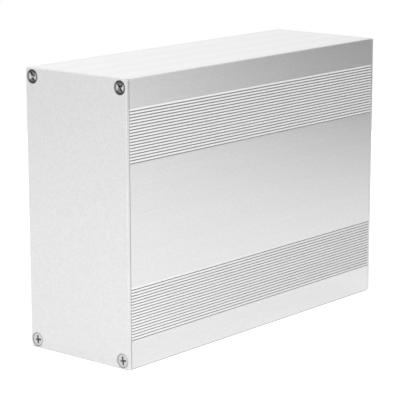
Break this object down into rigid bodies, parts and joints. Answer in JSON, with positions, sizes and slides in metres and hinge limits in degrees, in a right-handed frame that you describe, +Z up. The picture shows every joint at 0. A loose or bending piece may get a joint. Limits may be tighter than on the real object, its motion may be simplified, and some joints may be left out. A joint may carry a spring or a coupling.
{
  "type": "aluminium project box",
  "caption": "Rectangular aluminium case for electronics: an extruded body with ribbed broad faces, closed at each end by a flat plate held with countersunk screws.",
  "frame": {"origin": "middle of the footprint, at the height of the surface that the box stands on", "axes": "+X along the extrusion towards the right end plate, +Y from the front broad face to the back one, +Z up; the box stands on one narrow side"},
  "size_m": [0.204, 0.069, 0.145],
  "materials": {
    "anodised_body": "fine bead-blasted, clear anodised",
    "anodised_plate": "fine bead-blasted, clear anodised",
    "screw_steel": "bright nickel plated"
  },
  "bodies": {
    "root": {"extruded_body": "anodised_body", "left_end_plate": "anodised_plate", "right_end_plate": "anodised_plate", "screw_left_top_front": "screw_steel", "screw_left_top_back": "screw_steel", "screw_left_bottom_front": "screw_steel", "screw_left_bottom_back": "screw_steel", "screw_right_top_front": "screw_steel", "screw_right_top_back": "screw_steel", "screw_right_bottom_front": "screw_steel", "screw_right_bottom_back": "screw_steel"}
  },
  "joints": []
}
